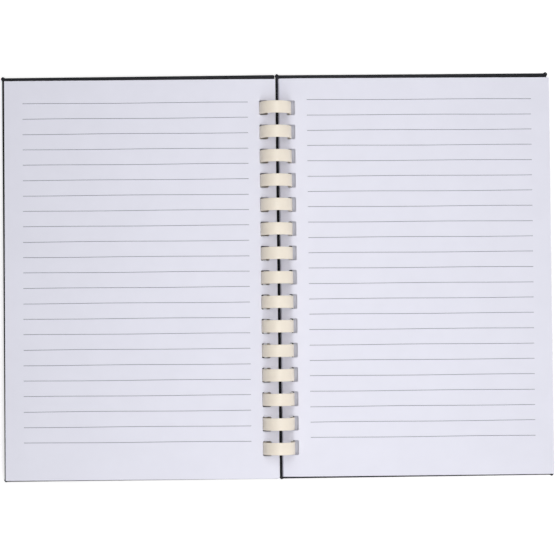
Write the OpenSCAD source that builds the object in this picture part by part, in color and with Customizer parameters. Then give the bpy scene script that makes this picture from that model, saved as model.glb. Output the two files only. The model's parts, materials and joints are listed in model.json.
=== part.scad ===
// Open notebook with wrapped board covers, bound by a plastic comb.
// It lies open on a table. +Y runs to the head of the pages, +X to the right.

/* [Comb] */
// Distance from one ring finger to the next
ring_pitch = 14.2875; // [9.5:0.0125:20]
// Least distance from the head or foot of a page to the middle of the nearest finger
ring_margin = 17; // [8:0.5:40]
// Outer diameter of the rings
comb_d = 19; // [19:0.1:25]
// Thickness of the comb's plastic
comb_t = 0.5; // [0.35:0.05:0.55]
// Width of one ring finger
finger_w = 7.2; // [5:0.1:7.6]
// Clearance between the tucked fingers and the spine strip, where it is narrowest
tuck_clear = 0.05; // [0.02:0.01:0.2]
// Reach of the spine strip to the left of the rings' centre
strip_left = 5.9; // [5:0.1:6.4]
// Reach of the spine strip to the right of the rings' centre
strip_right = 4.5; // [4:0.1:5.2]
// Spine strip beyond the outermost fingers, at each end
strip_end = 3; // [0:0.1:6]
// Radius of the rounded end of a finger
tip_r = 4.5; // [3.9:0.1:12]

/* [Punched holes] */
// How much longer a hole is than a finger is wide
hole_play = 1; // [0.6:0.1:1.6]
// From the pages' binding edge to their holes
page_margin = 4.4; // [4:0.1:5]
// From the covers' binding edge to their holes
cover_margin = 2.9; // [2.5:0.1:3]
// Clearance between a hole's far wall and the rings
hole_clear = 0.2; // [0.2:0.1:1]

/* [Pages] */
// Width of a sheet
page_w = 160.1; // [60:0.1:300]
// Height of a sheet
page_h = 235; // [60:0.1:400]
// Thickness of one sheet
sheet_t = 0.105; // [0.08:0.005:0.11]
// How far the top sheet on the right has slid outwards along the rings
right_fan = 1.1; // [0:0.1:1.5]
// Dip of the left page at its binding edge
left_dip = 0.5; // [0.1:0.1:1]
// Dip of the right page at its binding edge
right_dip = 1.1; // [0.1:0.1:1.5]
// Width of the margin in which the pages dip
dip_w = 14; // [8:0.5:15]

/* [Ruling] */
// Distance from one ruled line to the next
rule_pitch = 9.07; // [4:0.01:15]
// Width of a ruled line
rule_w = 0.25; // [0.1:0.05:0.5]
// From the binding edge to the ruled lines
rule_margin = 16.2; // [15.4:0.1:20]
// From the ruled lines to the outer edge of the page
rule_end = 10.8; // [0:0.1:30]
// From the head of the left page to its first ruled line
left_rule_head = 13.5; // [4:0.1:30]
// From the head of the right page to its first ruled line
right_rule_head = 12.7; // [4:0.1:30]
// Least distance from the last ruled line to the foot of the page
rule_foot = 21; // [4:0.1:30]
// Thickness of the printed ink
ink_t = 0.03; // [0.02:0.01:0.05]

/* [Covers] */
// How much wider a cover is than a sheet
cover_wider = 1.7; // [1.6:0.1:8]
// How much taller a cover is than a sheet
cover_taller = 4; // [3:0.1:12]
// Thickness of the board inside a cover
board_t = 1.5; // [1:0.1:1.6]
// Thickness of the wrapping material
wrap_t = 0.25; // [0.15:0.01:0.28]
// Width of the wrapping turned in over the inner face
turn_in = 15; // [10:0.5:20]
// Thickness of the lining sheet
lining_t = 0.2; // [0.1:0.01:0.24]
// From the cover's edge to the lining sheet
lining_inset = 2; // [1:0.1:2.4]
// Radius of the pleated wrapping at each corner
pleat_r = 1.3; // [0.8:0.1:2]
// How far a pleated corner stands out
pleat_out = 0.7; // [0.2:0.1:0.8]

/* [Place of the pieces on the rings] */
// Height of the left page above the rings' centre
left_rise = 1.5; // [0.5:0.1:1.6]
// Gap between the two pages when the notebook is closed
closed_gap = 0.5; // [0.3:0.05:0.6]
// From the rings' centre to the left pages' binding edge
left_page_edge = 0; // [-0.3:0.1:0.6]
// Room left between the rings and the near walls of the lowest right page's holes
right_play = 0.94; // [0.8:0.02:1.1]
// From the rings' centre to the front cover's binding edge
front_cover_edge = 0.3; // [0.2:0.1:1]
// From the rings' centre to the back cover's binding edge
back_cover_edge = 0.4; // [0.2:0.05:0.45]
// Clearance between the covers and the edges of the spine strip
strip_clear = 0.3; // [0.2:0.1:0.6]
// Shift of the comb towards the head
comb_shift = -1.1; // [-1.2:0.1:1.2]
// Shift of the left pages towards the head
left_shift = -1.1; // [-1.5:0.1:1.5]
// Shift of the right pages towards the head
right_shift = -0.8; // [-1.5:0.1:1.5]

/* [Hidden] */
$fn = 96;

// Sizes that follow the sheets, the rings and the plastic.
ring_r = comb_d / 2;
rings = 1 + floor((page_h - 2 * ring_margin) / ring_pitch);
tuck = comb_t + tuck_clear;
hole_len = finger_w + hole_play;
cover_w = page_w + cover_wider;
cover_h = page_h + cover_taller;
rule_head = max(left_rule_head, right_rule_head);
rules = 1 + floor((page_h - rule_head - rule_foot) / rule_pitch);
rule_len = page_w - rule_margin - rule_end;

// Levels below the rings' centre. The covers rest just above the edges of the spine strip,
// and as many sheets as fit lie on them.
ring_in = ring_r - comb_t;
wrap_h = board_t + 2 * wrap_t;
cover_t = wrap_h + lining_t;
left_drop = -left_rise;
right_drop = left_rise + closed_gap;
function room(strip, drop) =
    sqrt(ring_in ^ 2 - strip ^ 2) - strip_clear - cover_t - drop;
left_sheets = floor(room(strip_left, left_drop) / sheet_t);
right_sheets = floor(room(strip_right, right_drop) / sheet_t);
left_base = left_drop + left_sheets * sheet_t;
right_base = right_drop + right_sheets * sheet_t;

// The comb's section, with polar angles measured up from the line, comb_turn above the
// right, on which the fingers begin to tighten.
comb_turn = 40;
down = 270 - comb_turn;
tip_at = -145;
overlap = 10; // how far a finger's arch runs on into the strip
strip_from = down - asin(strip_left / ring_in);
strip_to = down + asin(strip_right / ring_in);
comb_len = (rings - 1) * ring_pitch + finger_w + 2 * strip_end;

// Where the right pages lie, with their lowest holes just outside the tucked fingers.
function tucked_reach(depth) = tuck * cos(comb_turn)
    + sqrt((ring_in - tuck) ^ 2 - (depth + tuck * sin(comb_turn)) ^ 2);
right_page_edge = tucked_reach(right_base) - right_play - page_margin + right_fan;

// Widths of the holes, whose far walls clear the rings at every depth below their centre.
function ring_reach(depth) = sqrt(ring_r ^ 2 - max(depth, 0) ^ 2) + hole_clear;
page_hole_w = ring_reach(left_drop) - left_page_edge - page_margin;
cover_hole_w = max(ring_reach(left_base) - front_cover_edge,
                   ring_reach(right_base) - back_cover_edge) - cover_margin;

// Each half slopes down from the comb until its outer edge meets the table.
front_outer = front_cover_edge + cover_w + pleat_out;
back_outer = back_cover_edge + cover_w + pleat_out;
function slope(outer, depth) =
    asin(ring_r / norm([outer, depth])) - atan2(depth, outer);
front_slope = slope(front_outer, left_base + cover_t);
back_slope = slope(back_outer, right_base + cover_t);

// How far a point of a sloping half lies from the rings' centre, seen from above.
function reach(outer, depth, angle) = outer * cos(angle) - depth * sin(angle);
front_reach = reach(front_outer, left_base + lining_t, front_slope);
back_reach = reach(back_outer, right_base + lining_t, back_slope);
axis_x = (front_reach - back_reach) / 2;

cut = 1; // how far a cutting shape runs past what it cuts
dip_steps = 10;
paper = [0.91, 0.91, 0.96];
ink = [0.55, 0.55, 0.6];
cream = [0.94, 0.9, 0.83];
black_cloth = [0.07, 0.07, 0.09];

// Stretches a section, drawn across the spine, along the spine.
module along_spine(length) {
    rotate([90, 0, 0]) linear_extrude(height = length, center = true) children();
}

module at_each_ring() {
    for (i = [0 : rings - 1])
        translate([0, comb_shift + (i - (rings - 1) / 2) * ring_pitch, 0]) children();
}

// Moves a half, drawn outwards along +X from the rings' centre, to its place.
module on_left() {
    translate([axis_x, 0, ring_r])
        rotate([0, -front_slope, 0]) mirror([1, 0, 0]) children();
}

module on_right() {
    translate([axis_x, 0, ring_r]) rotate([0, back_slope, 0]) children();
}

// Section of a bent strip of the comb's plastic between two polar angles.
module arc_band(r, from, to) {
    steps = 8;
    intersection() {
        difference() {
            circle(r);
            circle(r - comb_t);
        }
        polygon(concat([[0, 0]], [
            for (i = [0 : steps])
                let (a = from + (to - from) * i / steps) 2 * r * [cos(a), sin(a)]
        ]));
    }
}

// One finger: a round arch, then a tighter arc that leads its tip inside the strip.
module finger() {
    difference() {
        along_spine(finger_w) {
            arc_band(ring_r, 0, strip_from + overlap);
            translate([tuck, 0]) arc_band(ring_r - tuck, tip_at, 0);
        }
        translate([tuck, 0, 0]) rotate([0, -tip_at, 0])
            translate([ring_r - tuck - comb_t - cut, 0, 0])
                rotate([90, 0, 90]) linear_extrude(comb_t + 2 * cut) tip_corners();
    }
}

// What is trimmed from the square end of a finger to round its tip.
module tip_corners() {
    difference() {
        translate([-finger_w / 2 - cut, -cut]) square([finger_w + 2 * cut, tip_r + cut]);
        translate([0, tip_r]) circle(tip_r);
    }
}

module comb_binding() {
    color(cream) translate([axis_x, 0, ring_r]) rotate([0, -comb_turn, 0]) {
        translate([0, comb_shift, 0])
            along_spine(comb_len) arc_band(ring_r, strip_from, strip_to);
        at_each_ring() finger();
    }
}

// A flat layer of a cover, from its binding edge out, inset all round.
module cover_layer(edge, inset, bottom, thick) {
    translate([edge + inset, -cover_h / 2 + inset, bottom])
        cube([cover_w - 2 * inset, cover_h - 2 * inset, thick]);
}

// The row of holes punched through a cover.
module cover_holes(edge, depth) {
    at_each_ring()
        translate([edge + cover_margin, -hole_len / 2, -depth - cover_t - cut])
            cube([cover_hole_w, hole_len, cover_t + 2 * cut]);
}

// The corners of the wrapping, gathered into small round pleats.
module pleats(edge, bottom, thick) {
    near = edge + pleat_r;
    far = edge + cover_w + pleat_out - pleat_r;
    end = cover_h / 2 + pleat_out - pleat_r;
    for (x = [near, far], y = [-end, end])
        translate([x, y, bottom]) cylinder(r = pleat_r, h = thick);
}

// Wrapping material round a board, turned in over the edges of its inner face.
module wrap(edge, depth) {
    bottom = -depth - cover_t;
    difference() {
        union() {
            cover_layer(edge, 0, bottom, wrap_h);
            pleats(edge, bottom, wrap_h);
        }
        cover_layer(edge, wrap_t, bottom + wrap_t, board_t);
        cover_layer(edge, turn_in, bottom + wrap_t, wrap_h);
        cover_holes(edge, depth);
    }
}

module board(edge, depth) {
    difference() {
        cover_layer(edge, wrap_t, -depth - cover_t + wrap_t, board_t);
        cover_holes(edge, depth);
    }
}

// Lining sheet, glued over the turned-in wrapping and pressed down on the board inside it.
module lining(edge, depth) {
    top = -depth;
    difference() {
        union() {
            cover_layer(edge, lining_inset, top - lining_t, lining_t);
            cover_layer(edge, turn_in, top - lining_t - wrap_t, wrap_t);
        }
        cover_layer(edge, turn_in + lining_t, top - wrap_t, wrap_t + cut);
        cover_holes(edge, depth);
    }
}

// Pages as one stack. The top one dips towards the rings, and the stack may be fanned.
module page_stack(edge, fan, drop, base, dip, shift) {
    top_edge = edge;
    low_edge = edge - fan;
    lean = fan / (base - drop);
    difference() {
        translate([0, shift, 0]) along_spine(page_h) polygon(concat(
            [[low_edge, -base], [low_edge + page_w, -base], [top_edge + page_w, -drop]],
            [for (i = [0 : dip_steps])
                [top_edge + dip_w * (1 - i / dip_steps),
                 -drop - dip * (1 - cos(90 * i / dip_steps))]]
        ));
        at_each_ring() along_spine(hole_len) polygon([
            for (p = [[0, drop - cut], [page_hole_w, drop - cut],
                      [page_hole_w, base + cut], [0, base + cut]])
                [top_edge + page_margin + p[0] - lean * (p[1] - drop), -p[1]]
        ]);
    }
}

// Ruled lines printed on the flat part of a page, down from the first.
module ruling(edge, drop, first) {
    for (i = [0 : rules - 1])
        translate([edge + rule_margin, first - i * rule_pitch - rule_w / 2, -drop])
            cube([rule_len, rule_w, ink_t]);
}

module front_wrap() { color(black_cloth) on_left() wrap(front_cover_edge, left_base); }
module front_board() { color("tan") on_left() board(front_cover_edge, left_base); }
module front_lining() {
    color(black_cloth) on_left() lining(front_cover_edge, left_base);
}
module left_pages() {
    color(paper) on_left()
        page_stack(left_page_edge, 0, left_drop, left_base, left_dip, left_shift);
}
module left_ruling() {
    color(ink) on_left()
        ruling(left_page_edge, left_drop, left_shift + page_h / 2 - left_rule_head);
}

module back_wrap() { color(black_cloth) on_right() wrap(back_cover_edge, right_base); }
module back_board() { color("tan") on_right() board(back_cover_edge, right_base); }
module back_lining() {
    color(black_cloth) on_right() lining(back_cover_edge, right_base);
}
module right_pages() {
    color(paper) on_right()
        page_stack(right_page_edge, right_fan, right_drop, right_base, right_dip,
                   right_shift);
}
module right_ruling() {
    color(ink) on_right()
        ruling(right_page_edge, right_drop, right_shift + page_h / 2 - right_rule_head);
}

comb_binding();
front_wrap();
front_board();
front_lining();
left_pages();
left_ruling();
back_wrap();
back_board();
back_lining();
right_pages();
right_ruling();
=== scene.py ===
"""Looks of the open, comb-bound notebook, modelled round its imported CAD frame.

Lengths are in millimetres unless a name ends in _M, and angles in degrees.
"""
import json
import math
import random
from dataclasses import dataclass

import bpy
import numpy as np
from mathutils import Euler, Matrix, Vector
from mathutils.geometry import delaunay_2d_cdt


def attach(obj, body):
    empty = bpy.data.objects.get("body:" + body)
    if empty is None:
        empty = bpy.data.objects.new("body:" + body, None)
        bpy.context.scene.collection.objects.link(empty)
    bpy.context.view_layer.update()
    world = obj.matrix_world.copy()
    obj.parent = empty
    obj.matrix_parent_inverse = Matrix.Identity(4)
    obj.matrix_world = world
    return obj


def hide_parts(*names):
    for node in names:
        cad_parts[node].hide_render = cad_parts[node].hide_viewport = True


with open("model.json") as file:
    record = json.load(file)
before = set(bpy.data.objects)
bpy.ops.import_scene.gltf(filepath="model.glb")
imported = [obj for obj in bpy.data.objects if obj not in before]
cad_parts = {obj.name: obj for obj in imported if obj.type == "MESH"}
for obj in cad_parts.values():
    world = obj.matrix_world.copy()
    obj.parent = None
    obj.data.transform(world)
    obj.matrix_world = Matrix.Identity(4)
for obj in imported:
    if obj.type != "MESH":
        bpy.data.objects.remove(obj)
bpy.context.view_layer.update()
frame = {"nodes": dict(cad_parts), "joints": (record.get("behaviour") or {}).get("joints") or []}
randomness = random.Random(7)

MM = 0.001
AXIS = Vector(frame["joints"][0]["pos_m"]) / MM

# The plastic comb. Its fingers are round, and tighten near their tips to tuck in under the
# pages. Angles are seen from the foot, anticlockwise from the right.
RINGS = 15
RING_PITCH = 14.2875
RING_R = 9.5
COMB_T = 0.5
COMB_SHIFT = -1.1
FINGER_W = 7.2
TUCK = 0.55
TIGHTEN_AT = 40
TIP_AT = -105
TIP_CORNER = 2.4
ROOT_FILLET = 0.8
STRIP_LEFT = 5.9
STRIP_RIGHT = 4.5
STRIP_END = 3
STRIP_CORNER = 1

# The comb's mesh. Its edges are rounded by COMB_EDGE, with points at these shares of it. Its
# points lie COMB_STEP apart round the curl, in these rows across a finger, and STRIP_ROW
# apart along the strip.
COMB_EDGE = 0.16
COMB_EDGE_STOPS = (0, 0.29, 1)
COMB_STEP = 1.1
FINGER_ROWS = (-1.5, 0, 1.5)
STRIP_ROW = 3
STRIP_PAST_RINGS = 4

# The punched holes. Those of the sheets are spread a little wider than the rings. Sheets
# further down their stack than the share HOLE_LEDGE form a ledge in the holes. Their meshes
# have no loose points within HOLE_RIM of a hole, and points within SLACK of its side lie on it.
SHEET_HOLE_LEN = 8.8
COVER_HOLE_LEN = 8.2
COVER_HOLE_W = 5.48
HOLE_CORNER = 0.75
HOLE_SPREAD = 0.003
HOLE_LEDGE = 0.8
HOLE_RIM = 0.4
SLACK = 0.01
PAGE_MARGIN = 4.4
COVER_MARGIN = 2.9

# The pages. Within DIP_W of their binding edge they dip to the rings. Each lower sheet strays
# a little across and along the spine, and has a tone of its own.
PAGE_W = 160.1
PAGE_H = 235
SHEET_T = 0.105
SHEET_FILL = 0.72
USUAL_STRAY = (0.05, 0.07)
MOST_STRAY = (0.1, 0.14)
TONE_SPREAD = 0.3
SKEW = 0.003
DIP_W = 14
DIP_BENDS = 7
UNDER_COLUMNS = [60, 110]
TOP_COLUMNS = 30
TOP_ROWS = 49

# The top sheet's far edge lifts by SHEET_LIFT, and by these shares of it more or less in a
# swell and a ripple, whose radians per millimetre are given across and along the page.
SHEET_LIFT = 0.16
SWELL = (0.034, 0.021)
RIPPLE = (0.051, 0.037)
SWELL_SHARE = 0.6
RIPPLE_SHARE = 0.4

# The ruling. Its lines waver by COCKLE, with COCKLE_WAVE radians per millimetre along them,
# and COCKLE_NEXT from each line to the next.
RULES = 23
RULE_PITCH = 9.07
RULE_LEN = 133.1
RULE_W = 0.25
RULE_MARGIN = 16.2
RULE_POINTS = 60
INK_T = 0.03
COCKLE = 0.1
COCKLE_WAVE = 0.06
COCKLE_NEXT = 1.7

# The covers
COVER_W = 161.8
COVER_H = 239
COVER_CORNER = 0.75
COVER_EDGE_R = 0.6
COVER_STEP = 8
BOARD_T = 1.5
WRAP_T = 0.25
WRAP_H = BOARD_T + 2 * WRAP_T
LINING_T = 0.2
COVER_T = WRAP_H + LINING_T
TURN_IN = 15
TURN_IN_CORNER = 0.3

# The wrapping's gathered corners: lumps with straight sides, a flat top and a few creases
PLEAT_R = 1.3
PLEAT_OUT = 0.7
PLEAT_RISE = 0.12
PLEAT_INSET = 0.3
PLEAT_AROUND = 40
PLEAT_UP = 14
PLEAT_SIDE_POWER = 0.55
PLEAT_TOP_POWER = 0.6
PLEAT_POLE = 0.96
CREASES = 5
CREASE_DEPTH = 0.1

# Colours
WHITE = (1, 1, 1)
PAPER = (0.80, 0.80, 0.895)
INK = (0.105, 0.105, 0.15)
CREAM = (0.84, 0.765, 0.655)
BLACK = (0.007, 0.0075, 0.011)
LINING = (0.008, 0.008, 0.011)
BOARD = (0.42, 0.36, 0.27)
FLOOR_GREY = (0.8, 0.8, 0.8)

# The setting. The sky's light leans to the right by SKY_LEAN.
SKY = 0.42
SKY_LEAN = 0.5
FLOOR_GLOW = 0.5
FLOOR_REACH_M = 6
FLOOR_LEVEL_M = -0.0001
LAMP_AT_M = (0.05, -0.3, 0.5)
LAMP_AIM_M = (0.05, -0.3, 0)
LAMP_SIZE_M = (0.25, 1.4)
LAMP_WATTS = 2.95
PHOTO_PX = 555
CAMERA_FOCAL_PX = 1683.8
CAMERA_AT = (-16.22, -31.1, 1000)
CAMERA_TURN = (1.753, -0.922, -0.670)
CAMERA_REACH_M = 20


@dataclass
class Half:
    """One half of the open notebook: pages on a cover, sloping down from the rings.

    sign is -1 to the left and 1 to the right. page_edge and cover_edge are from the rings'
    centre out to the binding edges of the top page and of the cover. drop is from there down
    to the top page, and dip is how much lower that lies at its binding edge. fan is how much
    closer to that centre the lowest sheet lies. hole_w and top_hole_w are how wide the holes
    of the lower sheets and the top sheet are, and hole_step how far the ledge in them stands
    in. shift and hole_shift move the pages and the holes to the head, and rule_head is from
    the head to the first line.
    corners are how far the gathered corners stand out: inner foot, inner head, outer foot
    and outer head.
    """

    name: str
    sign: int
    page_edge: float
    hole_w: float
    top_hole_w: float
    hole_shift: float
    hole_step: float
    fan: float
    drop: float
    sheets: int
    dip: float
    shift: float
    rule_head: float
    cover_edge: float
    corners: tuple

    def __post_init__(self):
        """Works out the stack's depth and the slope at which its cover rests on the floor."""
        self.base = self.drop + self.sheets * SHEET_T
        outer = self.cover_edge + COVER_W + PLEAT_OUT
        depth = self.base + COVER_T
        self.tilt = math.asin(RING_R / math.hypot(outer, depth)) - math.atan2(depth, outer)

    def place(self, u, y, w):
        """Metres in the row frame, from distances out from the rings, to the head and up."""
        c, s = math.cos(self.tilt), math.sin(self.tilt)
        u, y, w = np.broadcast_arrays(u, y, w)
        x = AXIS.x + self.sign * (u * c + w * s)
        return np.column_stack([x, AXIS.y + y, AXIS.z - u * s + w * c]) * MM

    def sheet_place(self, d, y, share, w):
        """A point of a sheet, which is cut a little askew, d out from its binding edge."""
        edge = self.page_edge - self.fan * (1 - share)
        askew = self.sign * SKEW
        return self.place(edge + d + askew * y * d / PAGE_W, y - askew * d, w)

    def level(self, d, share):
        """Height above the rings' centre, d from the binding edge, at a share of the stack."""
        t = np.clip(1 - d / DIP_W, 0, 1)
        top = -self.drop - self.dip * (1 - np.cos(t * np.pi / 2))
        return -self.base + share * (top + self.base)

    def lift(self, d, y):
        """How far the top sheet, never quite flat, stands off the one below."""
        away = np.clip((d - DIP_W) / (PAGE_W - DIP_W), 0, 1)
        swell = np.sin(d * SWELL[0] + y * SWELL[1] * self.sign + self.sign)
        ripple = np.sin(d * RIPPLE[0] - y * RIPPLE[1] + 2 * self.sign)
        return SHEET_LIFT * away ** 0.5 * (1 + SWELL_SHARE * swell + RIPPLE_SHARE * ripple)


LEFT = Half("left", -1, page_edge=0, hole_w=5.3, top_hole_w=5.1, hole_shift=0.1,
            hole_step=0, fan=0, drop=-1.5, sheets=55, dip=0.5, shift=-1.34, rule_head=13.5,
            cover_edge=0.3, corners=(0.1, 0.1, 0.3, 0.7))
RIGHT = Half("right", 1, page_edge=2.5, hole_w=4.8, top_hole_w=4.8, hole_shift=0.35,
             hole_step=1.9, fan=0.6, drop=2, sheets=31, dip=1.1, shift=-0.56,
             rule_head=12.7, cover_edge=0.4, corners=(0.5, 0.7, 0.6, 0.7))


def ring_ys():
    """Places of the rings along the spine."""
    return [COMB_SHIFT + (i - (RINGS - 1) / 2) * RING_PITCH for i in range(RINGS)]


def line(start, end, step):
    """Points from start up to, but not including, end."""
    start, end = np.array(start, float), np.array(end, float)
    n = max(1, math.ceil(np.linalg.norm(end - start) / step))
    return [tuple(start + (end - start) * i / n) for i in range(n)]


def arc(centre, radius, start, end, steps):
    """Points on an arc, up to, but not including, its end."""
    found = []
    for i in range(steps):
        a = math.radians(start + (end - start) * i / steps)
        found.append((centre[0] + radius * math.cos(a), centre[1] + radius * math.sin(a)))
    return found


def rounded_rectangle(low, high, radius, step, corner_steps):
    """Anticlockwise loop of points round a rectangle with round corners."""
    (x0, y0), (x1, y1), r = low, high, radius
    loop = line((x0 + r, y0), (x1 - r, y0), step)
    loop += arc((x1 - r, y0 + r), r, -90, 0, corner_steps)
    loop += line((x1, y0 + r), (x1, y1 - r), step)
    loop += arc((x1 - r, y1 - r), r, 0, 90, corner_steps)
    loop += line((x1 - r, y1), (x0 + r, y1), step)
    loop += arc((x0 + r, y1 - r), r, 90, 180, corner_steps)
    loop += line((x0, y1 - r), (x0, y0 + r), step)
    return loop + arc((x0 + r, y0 + r), r, 180, 270, corner_steps)


def inward(loop):
    """Unit normals that point into an anticlockwise loop."""
    p = np.array(loop)
    along = np.roll(p, -1, 0) - np.roll(p, 1, 0)
    normal = np.column_stack([-along[:, 1], along[:, 0]])
    return normal / np.linalg.norm(normal, axis=1)[:, None]


def within(points, loops):
    """Which points lie inside an odd number of the loops."""
    inside = np.zeros(len(points), bool)
    for loop in loops:
        a = np.array(loop)
        b = np.roll(a, -1, 0)
        for (ax, ay), (bx, by) in zip(a, b):
            if ay == by:
                continue
            between = (points[:, 1] < ay) != (points[:, 1] < by)
            crossing = ax + (points[:, 1] - ay) * (bx - ax) / (by - ay)
            inside ^= between & (points[:, 0] < crossing)
    return inside


def triangulate(edge_loops, guide_loops, loose):
    """Fills the region bounded by edge_loops with triangles, through guide_loops and loose.

    Returns the points, the triangles, and the index that each point given has there.
    """
    loops = edge_loops + guide_loops
    given = [p for loop in loops for p in loop] + list(loose)
    edges = []
    start = 0
    for loop in loops:
        n = len(loop)
        edges += [(start + i, start + (i + 1) % n) for i in range(n)]
        start += n
    whole_hull, merge_within = 0, 1e-6
    points, _, faces, sources, _, _ = delaunay_2d_cdt(
        [Vector(p) for p in given], edges, [], whole_hull, merge_within)
    points = np.array([tuple(p) for p in points])
    faces = np.array([f[:] for f in faces])
    faces = faces[within(points[faces].mean(1), edge_loops)]
    index = np.zeros(len(given), int)
    for made, origins in enumerate(sources):
        index[list(origins)] = made
    return points, faces, index


def shell(upper, lower, faces):
    """Closed sheet between two sets of points that share their faces."""
    n = len(upper)
    directed = np.concatenate([faces[:, [0, 1]], faces[:, [1, 2]], faces[:, [2, 0]]])
    forward = directed[:, 0] * n + directed[:, 1]
    backward = directed[:, 1] * n + directed[:, 0]
    rim = directed[~np.isin(forward, backward)]
    i, j = rim[:, 0], rim[:, 1]
    walls = np.concatenate([np.column_stack([j, i, i + n]), np.column_stack([j, i + n, j + n])])
    return np.concatenate([upper, lower]), np.concatenate([faces, faces[:, ::-1] + n, walls])


def volume(points, faces):
    """Signed volume of a closed mesh, which is negative if it is inside out."""
    a, b, c = (points[faces[:, k]] for k in range(3))
    return np.einsum("ij,ij->i", a, np.cross(b, c)).sum() / 6


def add_object(name, data):
    """A new object in the scene."""
    added = bpy.data.objects.new(name, data)
    bpy.context.scene.collection.objects.link(added)
    return added


def make_smooth(name, points, faces, material, smooth_angle):
    """An object of one material, smooth but for the edges that are sharper than the angle."""
    mesh = bpy.data.meshes.new(name)
    mesh.from_pydata(points.tolist(), [], faces.tolist())
    mesh.shade_smooth()
    mesh.set_sharp_from_angle(angle=math.radians(smooth_angle))
    mesh.materials.append(material)
    return add_object(name, mesh)


def make_piece(name, parts, material, smooth_angle=30):
    """One object from closed meshes, each a pair of points and faces."""
    points, faces, start = [], [], 0
    for part_points, part_faces in parts:
        if volume(part_points, part_faces) < 0:
            part_faces = part_faces[:, ::-1]
        points.append(part_points)
        faces.append(part_faces + start)
        start += len(part_points)
    points, faces = np.concatenate(points), np.concatenate(faces)
    return make_smooth(name, points, faces, material, smooth_angle)


def add_tones(piece, sizes, spread):
    """Gives each closed part of a piece, of so many points, a tone of its own."""
    tones = []
    for size in sizes:
        tones += [1 - spread * randomness.random()] * size
    piece.data.attributes.new("tone", "FLOAT", "POINT").data.foreach_set("value", tones)


# The comb


def off_bottom(across):
    """Angle from the bottom of the rings to a point so far across the strip's inner face."""
    return math.asin(across / (RING_R - COMB_T))


def curl_start():
    """Angle at the strip's right edge, where the comb's section starts."""
    return math.radians(270) + off_bottom(STRIP_RIGHT)


def comb_section(a):
    """Points and outward normals of the comb's outer face, at arc lengths a from its strip's
    right edge round to a finger's tip."""
    start, bend = curl_start(), math.radians(TIGHTEN_AT)
    round_len = RING_R * (start - bend)
    tight_r = RING_R - TUCK
    angle = np.where(a < round_len, start - a / RING_R, bend - (a - round_len) / tight_r)
    normal = np.column_stack([np.cos(angle), np.sin(angle)])
    radius = np.where(a < round_len, RING_R, tight_r)[:, None]
    shift = np.where(a < round_len, 0, TUCK)[:, None]
    return normal * radius + shift * np.array([math.cos(bend), math.sin(bend)]), normal


def comb_lengths():
    """Arc lengths, on the outer face, at the strip's far edge and at a finger's tip."""
    strip = RING_R * (off_bottom(STRIP_RIGHT) + off_bottom(STRIP_LEFT))
    bend, tip = math.radians(TIGHTEN_AT), math.radians(TIP_AT)
    return strip, RING_R * (curl_start() - bend) + (RING_R - TUCK) * (bend - tip)


def finger_outline(y, root, tip, step):
    """A finger of the comb's flat pattern, from one root fillet round its tip to the other."""
    half, f, r = FINGER_W / 2, ROOT_FILLET, TIP_CORNER
    loop = arc((root + f, y - half - f), f, 180, 90, 4)
    loop += line((root + f, y - half), (tip - r, y - half), step)
    loop += arc((tip - r, y - half + r), r, -90, 0, 6)
    loop += line((tip, y - half + r), (tip, y + half - r), step)
    loop += arc((tip - r, y + half - r), r, 0, 90, 6)
    loop += line((tip - r, y + half), (root + f, y + half), step)
    return loop + arc((root + f, y + half + f), f, 270, 180, 4)


def comb_outline(step):
    """The comb's flat pattern, anticlockwise, over arc length and place along the spine."""
    root, tip = comb_lengths()
    ys = ring_ys()
    low = ys[0] - FINGER_W / 2 - STRIP_END
    high = ys[-1] + FINGER_W / 2 + STRIP_END
    r, edge = STRIP_CORNER, FINGER_W / 2 + ROOT_FILLET
    loop = line((r, low), (root - r, low), step)
    loop += arc((root - r, low + r), r, -90, 0, 5)
    starts = [low + r] + [y + edge for y in ys]
    for start, y in zip(starts, ys):
        loop += line((root, start), (root, y - edge), step)
        loop += finger_outline(y, root, tip, step)
    loop += line((root, starts[-1]), (root, high - r), step)
    loop += arc((root - r, high - r), r, 0, 90, 5)
    loop += line((root - r, high), (r, high), step)
    loop += arc((r, high - r), r, 90, 180, 5)
    loop += line((0, high - r), (0, low + r), step)
    return loop + arc((r, low + r), r, 180, 270, 5)


def make_comb(material):
    """The comb, curled from its flat pattern, with every edge rounded."""
    step = COMB_STEP
    outline = comb_outline(step)
    into = inward(outline)
    insets = [stop * COMB_EDGE for stop in COMB_EDGE_STOPS]
    loops = [[tuple(p) for p in np.array(outline) + into * inset] for inset in insets]
    root, tip = comb_lengths()
    rows = np.arange(root + step, tip - TIP_CORNER, step)
    loose = [(a, y + side) for y in ring_ys() for side in FINGER_ROWS for a in rows]
    strip_ys = np.arange(ring_ys()[0] - STRIP_PAST_RINGS, ring_ys()[-1] + STRIP_PAST_RINGS,
                         STRIP_ROW)
    loose += [(a, y) for a in np.arange(step, root, step) for y in strip_ys]
    points, faces, index = triangulate(loops[:1], loops[1:], loose)
    depth = np.full(len(points), COMB_EDGE)
    for k, inset in enumerate(insets):
        depth[index[k * len(outline):(k + 1) * len(outline)]] = inset
    swell = COMB_T / 2 - COMB_EDGE + np.sqrt(COMB_EDGE ** 2 - (COMB_EDGE - depth) ** 2)
    place, normal = comb_section(points[:, 0])
    skins = []
    for side in (1, -1):
        xz = place + normal * (side * swell - COMB_T / 2)[:, None]
        skins.append(np.column_stack([AXIS.x + xz[:, 0], points[:, 1], AXIS.z + xz[:, 1]]) * MM)
    comb = make_piece("comb", [shell(skins[0], skins[1], faces)], material, smooth_angle=40)
    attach(comb, "comb")
    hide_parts("comb_binding")


# The pages


def hole_loops(near, width, length, corner_steps, shift=0, spread=0):
    """Round-cornered holes for all the rings, maybe spread a little wider than the rings."""
    loops = []
    for y in ring_ys():
        y = y * (1 + spread) + shift
        low, high = (near, y - length / 2), (near + width, y + length / 2)
        loops.append(rounded_rectangle(low, high, HOLE_CORNER, length, corner_steps))
    return loops


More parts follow.
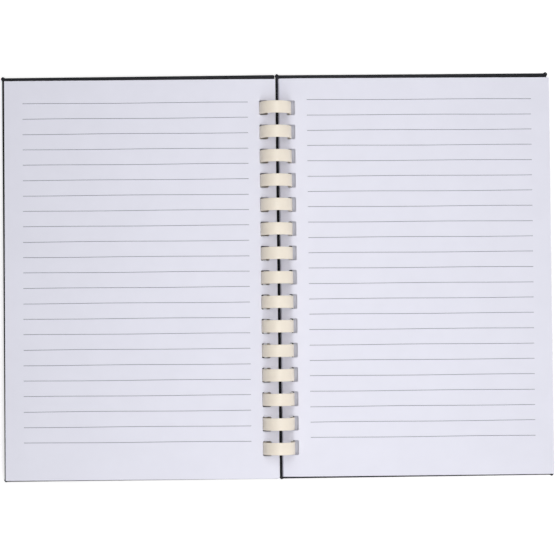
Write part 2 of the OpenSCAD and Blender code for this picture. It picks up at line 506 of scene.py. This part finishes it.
def sheet_plan(half, hole_w, columns, rows, corner_steps):
    """A flat sheet with its holes, in triangles fine enough to bend at the columns.

    Returns its points and faces, and which points lie on the far walls of its holes.
    """
    low, high = half.shift - PAGE_H / 2, half.shift + PAGE_H / 2
    edge = [(u, low) for u in columns[:-1]] + [(PAGE_W, y) for y in [low] + rows]
    edge += [(u, high) for u in columns[:0:-1]] + [(0, y) for y in [high] + rows[::-1]]
    holes = hole_loops(PAGE_MARGIN, hole_w, SHEET_HOLE_LEN, corner_steps,
                       half.hole_shift, HOLE_SPREAD)
    grown = hole_loops(PAGE_MARGIN - HOLE_RIM, hole_w + 2 * HOLE_RIM,
                       SHEET_HOLE_LEN + 2 * HOLE_RIM, 1, half.hole_shift, HOLE_SPREAD)
    loose = np.array([(u, y) for u in columns[1:-1] for y in rows])
    loose = loose[~within(loose, grown)]
    points, faces, _ = triangulate([edge] + holes, [], loose.tolist())
    y = (points[:, 1] - half.hole_shift) / (1 + HOLE_SPREAD)
    from_ring = (y - ring_ys()[0] + RING_PITCH / 2) % RING_PITCH - RING_PITCH / 2
    beside = np.abs(from_ring) < SHEET_HOLE_LEN / 2 + SLACK
    far_end = PAGE_MARGIN + hole_w
    far_wall = (points[:, 0] > far_end - HOLE_CORNER - SLACK) & (points[:, 0] < far_end + SLACK)
    return points, faces, beside & far_wall


def bent_sheet(half, plan, share, shift, lifted=False):
    """A sheet of the stack, which bends down to the rings with the stack. The far walls of
    the lowest sheets' holes stand further in, close to the rings."""
    points, faces, far_wall = plan
    step = half.hole_step if 1 - share[1] > HOLE_LEDGE else 0
    d, y = points[:, 0] - step * far_wall, points[:, 1]
    skins = []
    for s in (share[1], share[0]):
        w = half.level(d, s) + (half.lift(d, y) if lifted else 0)
        skins.append(half.sheet_place(d, y, s, w) + np.array([shift[0], shift[1], 0]) * MM)
    return shell(skins[0], skins[1], faces)


def stray():
    """How far a lower sheet lies out of line, across and along the spine."""
    return [max(-most, min(most, randomness.gauss(0, usual)))
            for usual, most in zip(USUAL_STRAY, MOST_STRAY)]


def make_pages(half, node, body, material):
    """All the sheets of one half, each a thin sheet of its own, a little out of line."""
    bends = [DIP_W * k / DIP_BENDS for k in range(DIP_BENDS + 1)]
    between = [y + RING_PITCH / 2 for y in ring_ys()[:-1]]
    columns = bends + UNDER_COLUMNS + [PAGE_W]
    under_plan = sheet_plan(half, half.hole_w, columns, between, corner_steps=2)
    n = half.sheets
    gap = (1 - SHEET_FILL) / 2
    under = []
    for k in range(n - 1):
        share = ((k + gap) / n, (k + 1 - gap) / n)
        under.append(bent_sheet(half, under_plan, share, stray()))
    stack = make_piece(half.name + "_stack", under, material, smooth_angle=25)
    add_tones(stack, [len(p) for p, _ in under], TONE_SPREAD)
    across = bends + [DIP_W + (PAGE_W - DIP_W) * k / TOP_COLUMNS
                      for k in range(1, TOP_COLUMNS + 1)]
    down = np.linspace(half.shift - PAGE_H / 2, half.shift + PAGE_H / 2, TOP_ROWS + 1)[1:-1]
    top_plan = sheet_plan(half, half.top_hole_w, across, down.tolist(), corner_steps=4)
    top = bent_sheet(half, top_plan, ((n - 1) / n, 1), (0, 0), lifted=True)
    page = make_piece(half.name + "_page", [top], material, smooth_angle=25)
    add_tones(page, [len(top[0])], 0)
    for piece in (stack, page):
        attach(piece, body)
        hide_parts(node)


def make_ruling(half, node, body, material):
    """The printed lines, which lie on the top sheet wherever it swells."""
    d = np.linspace(RULE_MARGIN, RULE_MARGIN + RULE_LEN, RULE_POINTS)
    strips = []
    for i in range(RULES):
        y = half.shift + PAGE_H / 2 - half.rule_head - i * RULE_PITCH
        rows = []
        for side in (-1, 1):
            waver = COCKLE * np.sin(d * COCKLE_WAVE + COCKLE_NEXT * i + half.sign)
            sides = y + side * RULE_W / 2 + waver
            w = half.level(d, 1) + half.lift(d, sides)
            rows.append((sides, w))
        upper = [half.sheet_place(d, s, 1, w + INK_T) for s, w in rows]
        lower = [half.sheet_place(d, s, 1, w - INK_T / 2) for s, w in rows]
        m = len(d)
        k = np.arange(m - 1)
        faces = np.concatenate([np.column_stack([k, k + 1, k + m]),
                                np.column_stack([k + 1, k + m + 1, k + m])])
        strips.append(shell(np.concatenate(upper), np.concatenate(lower), faces))
    ruling = make_piece(half.name + "_lines", strips, material)
    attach(ruling, body)
    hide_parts(node)


# The covers


def wrap_skin(half):
    """The wrapping's outer skin, open where it ends on the inner face: points and faces."""
    low = np.array([half.cover_edge, -COVER_H / 2])
    high = np.array([half.cover_edge + COVER_W, COVER_H / 2])
    edge_r = COVER_EDGE_R
    slant = edge_r * (1 - math.sqrt(0.5))
    profile = [(edge_r, 0), (slant, slant), (0, edge_r), (0, WRAP_H - edge_r),
               (slant, WRAP_H - slant), (edge_r, WRAP_H)]
    rings = [rounded_rectangle(low + i, high - i, COVER_CORNER - i, COVER_STEP, corner_steps=4)
             for i, _ in profile]
    holes = hole_loops(half.cover_edge + COVER_MARGIN, COVER_HOLE_W, COVER_HOLE_LEN,
                       corner_steps=3)
    flap = rounded_rectangle(low + TURN_IN, high - TURN_IN, TURN_IN_CORNER, COVER_STEP,
                             corner_steps=2)
    n = len(rings[0])
    under, under_faces, under_at = triangulate([rings[0]] + holes, [], [])
    over, over_faces, over_at = triangulate([rings[-1], flap] + holes, [], [])
    points = [np.column_stack([under, np.full(len(under), 0.0)])]
    faces = [under_faces[:, ::-1]]
    at = [under_at[:n]]
    start = len(under)
    for (_, h), ring in zip(profile[1:-1], rings[1:-1]):
        points.append(np.column_stack([np.array(ring), np.full(n, h)]))
        at.append(start + np.arange(n))
        start += n
    points.append(np.column_stack([over, np.full(len(over), WRAP_H)]))
    faces.append(over_faces + start)
    at.append(start + over_at[:n])
    for a, b in zip(at, at[1:]):
        a2, b2 = np.roll(a, -1), np.roll(b, -1)
        faces += [np.column_stack([a, a2, b2]), np.column_stack([a, b2, b])]
    return np.concatenate(points), np.concatenate(faces)


def pleat(half, u, y, out):
    """A corner of the wrapping, gathered into a small creased lump."""
    around, up = PLEAT_AROUND, PLEAT_UP
    middle = -half.base - COVER_T + WRAP_H / 2
    rise = WRAP_H / 2 + PLEAT_RISE
    a = np.repeat(np.arange(around) * 2 * np.pi / around, up)
    b = np.tile(np.linspace(-0.5, 0.5, up + 2)[1:-1] * np.pi, around)
    crease = np.abs(np.sin(CREASES / 2 * (a - math.atan2(out[1], out[0]))))
    swell = 1 - CREASE_DEPTH + CREASE_DEPTH * crease
    r = PLEAT_R * np.cos(b) ** PLEAT_SIDE_POWER * swell
    h = rise * np.sign(b) * np.abs(np.sin(b)) ** PLEAT_TOP_POWER * swell
    points = half.place(u + r * np.cos(a), y + r * np.sin(a), middle + h)
    pole = rise * PLEAT_POLE
    ends = half.place(u, y, np.array([middle - pole, middle + pole]))
    faces = []
    for i in range(around):
        j = (i + 1) % around
        for k in range(up - 1):
            p, q = i * up + k, j * up + k
            faces += [(p, q, q + 1), (p, q + 1, p + 1)]
        faces.append((around * up, j * up, i * up))
        faces.append((around * up + 1, i * up + up - 1, j * up + up - 1))
    return np.concatenate([points, ends]), np.array(faces)


def pleats(half):
    """The gathered corners of a cover, in the order of half.corners."""
    ends = [(out_u, out_y) for out_u in (-1, 1) for out_y in (-1, 1)]
    lumps = []
    for (out_u, out_y), out in zip(ends, half.corners):
        u = half.cover_edge + PLEAT_R - max(0, out - PLEAT_INSET)
        if out_u > 0:
            u = half.cover_edge + COVER_W + out - PLEAT_R
        lumps.append(pleat(half, u, out_y * (COVER_H / 2 + out - PLEAT_R), (out_u, out_y)))
    return lumps


def make_wrap(half, node, body, material):
    """The wrapping round a cover's board, with rounded edges and gathered corners."""
    points, faces = wrap_skin(half)
    if half.sign < 0:
        faces = faces[:, ::-1]
    placed = half.place(points[:, 0], points[:, 1], points[:, 2] - half.base - COVER_T)
    cloth = make_smooth(half.name + "_cover_cloth", placed, faces, material, smooth_angle=50)
    thick = cloth.modifiers.new("thickness", "SOLIDIFY")
    thick.thickness = WRAP_T * MM
    thick.offset = -1
    corners = make_piece(half.name + "_cover_corners", pleats(half), material,
                         smooth_angle=60)
    for piece in (cloth, corners):
        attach(piece, body)
        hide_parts(node)


# Materials


def set_inputs(node, inputs):
    """Sets inputs of a node, with _ for spaces in their names."""
    for key, value in inputs.items():
        node.inputs[key.replace("_", " ")].default_value = value


def new_material(name, **inputs):
    """A material with nodes, and its main shader with these inputs."""
    material = bpy.data.materials.new(name)
    material.use_nodes = True
    shader = material.node_tree.nodes["Principled BSDF"]
    set_inputs(shader, inputs)
    return material, shader


def add_node(material, kind, **inputs):
    """A new shader node with these inputs."""
    node = material.node_tree.nodes.new(kind)
    set_inputs(node, inputs)
    return node


def noise(material, scale, detail=3.0, roughness=0.6, stretch=(1, 1, 1)):
    """Noise over the object's own coordinates, in bumps per metre, maybe stretched."""
    link = material.node_tree.links.new
    place = add_node(material, "ShaderNodeTexCoord")
    mapping = add_node(material, "ShaderNodeMapping", Scale=stretch)
    texture = add_node(material, "ShaderNodeTexNoise", Scale=scale, Detail=detail,
                       Roughness=roughness)
    link(place.outputs["Object"], mapping.inputs["Vector"])
    link(mapping.outputs["Vector"], texture.inputs["Vector"])
    return texture.outputs["Fac"]


def mottled(material, value, colour, factors, stops=(0.3, 0.7)):
    """The colour times one factor up to the first stop of a value, and another from the next."""
    node = add_node(material, "ShaderNodeValToRGB")
    for element, factor, stop in zip(node.color_ramp.elements, factors, stops):
        element.position = stop
        element.color = (*[c * factor for c in colour], 1)
    material.node_tree.links.new(value, node.inputs["Fac"])
    return node.outputs["Color"]


def times(material, colour, factor):
    """A colour multiplied by a grey or colour."""
    node = add_node(material, "ShaderNodeMix")
    node.data_type = "RGBA"
    node.blend_type = "MULTIPLY"
    node.inputs[0].default_value = 1
    material.node_tree.links.new(colour, node.inputs[6])
    material.node_tree.links.new(factor, node.inputs[7])
    return node.outputs[2]


def bump(material, shader, height, strength, depth):
    """Relief on the shader."""
    node = add_node(material, "ShaderNodeBump", Strength=strength, Distance=depth * MM)
    material.node_tree.links.new(height, node.inputs["Height"])
    material.node_tree.links.new(node.outputs["Normal"], shader.inputs["Normal"])


def paper_material():
    material, shader = new_material("paper", Roughness=0.75, Specular_IOR_Level=0.25)
    cloudy = mottled(material, noise(material, 60), PAPER, (0.985, 1.01))
    tone = add_node(material, "ShaderNodeAttribute")
    tone.attribute_name = "tone"
    toned = times(material, cloudy, tone.outputs["Fac"])
    material.node_tree.links.new(toned, shader.inputs["Base Color"])
    fibres = noise(material, 2600, detail=4, roughness=0.7, stretch=(1, 0.6, 1))
    bump(material, shader, fibres, strength=0.25, depth=0.03)
    return material


def ink_material():
    material, shader = new_material("ink", Roughness=0.7, Specular_IOR_Level=0.2)
    speckle = mottled(material, noise(material, 900), INK, (0.85, 1.1), (0.35, 0.7))
    material.node_tree.links.new(speckle, shader.inputs["Base Color"])
    return material


def plastic_material():
    material, shader = new_material("comb_plastic", IOR=1.5)
    cloudy = mottled(material, noise(material, 90), CREAM, (0.97, 1.02))
    material.node_tree.links.new(cloudy, shader.inputs["Base Color"])
    gloss = mottled(material, noise(material, 300), WHITE, (0.36, 0.46))
    material.node_tree.links.new(gloss, shader.inputs["Roughness"])
    bump(material, shader, noise(material, 500, detail=2), strength=0.15, depth=0.04)
    return material


def cloth_material():
    material, shader = new_material("cover_cloth", Specular_IOR_Level=0.2)
    link = material.node_tree.links.new
    cells = add_node(material, "ShaderNodeTexVoronoi", Scale=1900.0, Randomness=0.9)
    place = add_node(material, "ShaderNodeTexCoord")
    link(place.outputs["Object"], cells.inputs["Vector"])
    grain = cells.outputs["Distance"]
    link(mottled(material, grain, BLACK, (1.9, 0.75), (0.1, 0.55)), shader.inputs["Base Color"])
    worn = mottled(material, noise(material, 240), WHITE, (0.42, 0.58))
    link(worn, shader.inputs["Roughness"])
    bump(material, shader, grain, strength=0.6, depth=0.09)
    return material


def lining_material():
    material, shader = new_material("lining_paper", Roughness=0.8, Specular_IOR_Level=0.2)
    fibres = noise(material, 1500, detail=4, roughness=0.7, stretch=(1, 0.4, 1))
    flecks = mottled(material, fibres, LINING, (0.8, 1.3), (0.35, 0.7))
    material.node_tree.links.new(flecks, shader.inputs["Base Color"])
    bump(material, shader, fibres, strength=0.3, depth=0.05)
    return material


def board_material():
    material, shader = new_material("board", Roughness=0.9)
    fibres = noise(material, 1100, detail=5, roughness=0.75, stretch=(1, 1, 4))
    pulp = mottled(material, fibres, BOARD, (0.7, 1.25))
    material.node_tree.links.new(pulp, shader.inputs["Base Color"])
    bump(material, shader, fibres, strength=0.5, depth=0.1)
    return material


def dress_node(name, material):
    """Gives a CAD node that is shown as it is its material."""
    slots = frame["nodes"][name].data.materials
    slots.clear()
    slots.append(material)


# The setting


def maths(tree, operation, *values):
    """The output of a maths node. Each value is a number or the output of another node."""
    node = tree.nodes.new("ShaderNodeMath")
    node.operation = operation
    for socket, value in zip(node.inputs, values):
        if isinstance(value, bpy.types.NodeSocket):
            tree.links.new(value, socket)
        else:
            socket.default_value = value
    return node.outputs[0]


def seen_directly(tree, strength):
    """The strength for rays from the camera, mirrors and glass, and 0 for all others."""
    path = tree.nodes.new("ShaderNodeLightPath").outputs
    seen = maths(tree, "MAXIMUM", path["Is Camera Ray"], path["Is Glossy Ray"])
    seen = maths(tree, "MAXIMUM", seen, path["Is Transmission Ray"])
    return maths(tree, "MULTIPLY", seen, strength)


def make_floor():
    """A plain pale floor. It keeps the object's shadow, and to the camera it is white."""
    far = FLOOR_REACH_M
    corners = [(-far, -far), (far, -far), (far, far), (-far, far)]
    mesh = bpy.data.meshes.new("floor")
    mesh.from_pydata([(x, y, FLOOR_LEVEL_M) for x, y in corners], [], [(0, 1, 2, 3)])
    floor = add_object("floor", mesh)
    material, shader = new_material("floor", Base_Color=(*FLOOR_GREY, 1), Roughness=1,
                                    Specular_IOR_Level=0)
    tree = material.node_tree
    glow = add_node(material, "ShaderNodeEmission", Color=(*WHITE, 1))
    tree.links.new(seen_directly(tree, FLOOR_GLOW), glow.inputs["Strength"])
    both = add_node(material, "ShaderNodeAddShader")
    tree.links.new(shader.outputs["BSDF"], both.inputs[0])
    tree.links.new(glow.outputs["Emission"], both.inputs[1])
    tree.links.new(both.outputs["Shader"], tree.nodes["Material Output"].inputs["Surface"])
    mesh.materials.append(material)


def make_world():
    """Neutral light from all round, stronger from the right. The camera sees it as white."""
    world = bpy.data.worlds.new("studio")
    bpy.context.scene.world = world
    world.use_nodes = True
    tree = world.node_tree
    background = tree.nodes["Background"]
    background.inputs["Color"].default_value = (*WHITE, 1)
    place = tree.nodes.new("ShaderNodeTexCoord")
    direction = tree.nodes.new("ShaderNodeSeparateXYZ")
    tree.links.new(place.outputs["Generated"], direction.inputs[0])
    sky = maths(tree, "MULTIPLY_ADD", direction.outputs["X"], SKY * SKY_LEAN, SKY)
    strength = maths(tree, "MAXIMUM", seen_directly(tree, 1), sky)
    tree.links.new(strength, background.inputs["Strength"])


def make_lamp():
    """One soft rectangular lamp, half a metre up and off to the foot."""
    lamp = bpy.data.lights.new("strip", "AREA")
    lamp.shape = "RECTANGLE"
    lamp.size, lamp.size_y = LAMP_SIZE_M
    lamp.energy = LAMP_WATTS
    holder = add_object("strip", lamp)
    holder.location = LAMP_AT_M
    down = Vector(LAMP_AIM_M) - Vector(LAMP_AT_M)
    holder.rotation_euler = down.to_track_quat("-Z", "Y").to_euler()


def make_camera():
    """The photograph's view: from a metre above, a little left of and below the middle."""
    camera = bpy.data.cameras.new("camera")
    camera.sensor_width = 36
    camera.lens = CAMERA_FOCAL_PX * camera.sensor_width / PHOTO_PX
    camera.clip_end = CAMERA_REACH_M
    holder = add_object("camera", camera)
    holder.location = Vector(CAMERA_AT) * MM
    holder.rotation_euler = Euler([math.radians(a) for a in CAMERA_TURN], "XYZ")
    bpy.context.scene.camera = holder


bpy.context.scene.view_settings.view_transform = "Standard"
make_camera()
make_world()
make_floor()
make_lamp()

paper = paper_material()
ink = ink_material()
cloth = cloth_material()
lining = lining_material()
board = board_material()
make_comb(plastic_material())
for half, prefix, body in ((LEFT, "front", "turned_pages"), (RIGHT, "back", "unturned_pages")):
    make_pages(half, half.name + "_pages", body, paper)
    make_ruling(half, half.name + "_ruling", body, ink)
    make_wrap(half, prefix + "_wrap", prefix + "_cover", cloth)
    dress_node(prefix + "_lining", lining)
    dress_node(prefix + "_board", board)
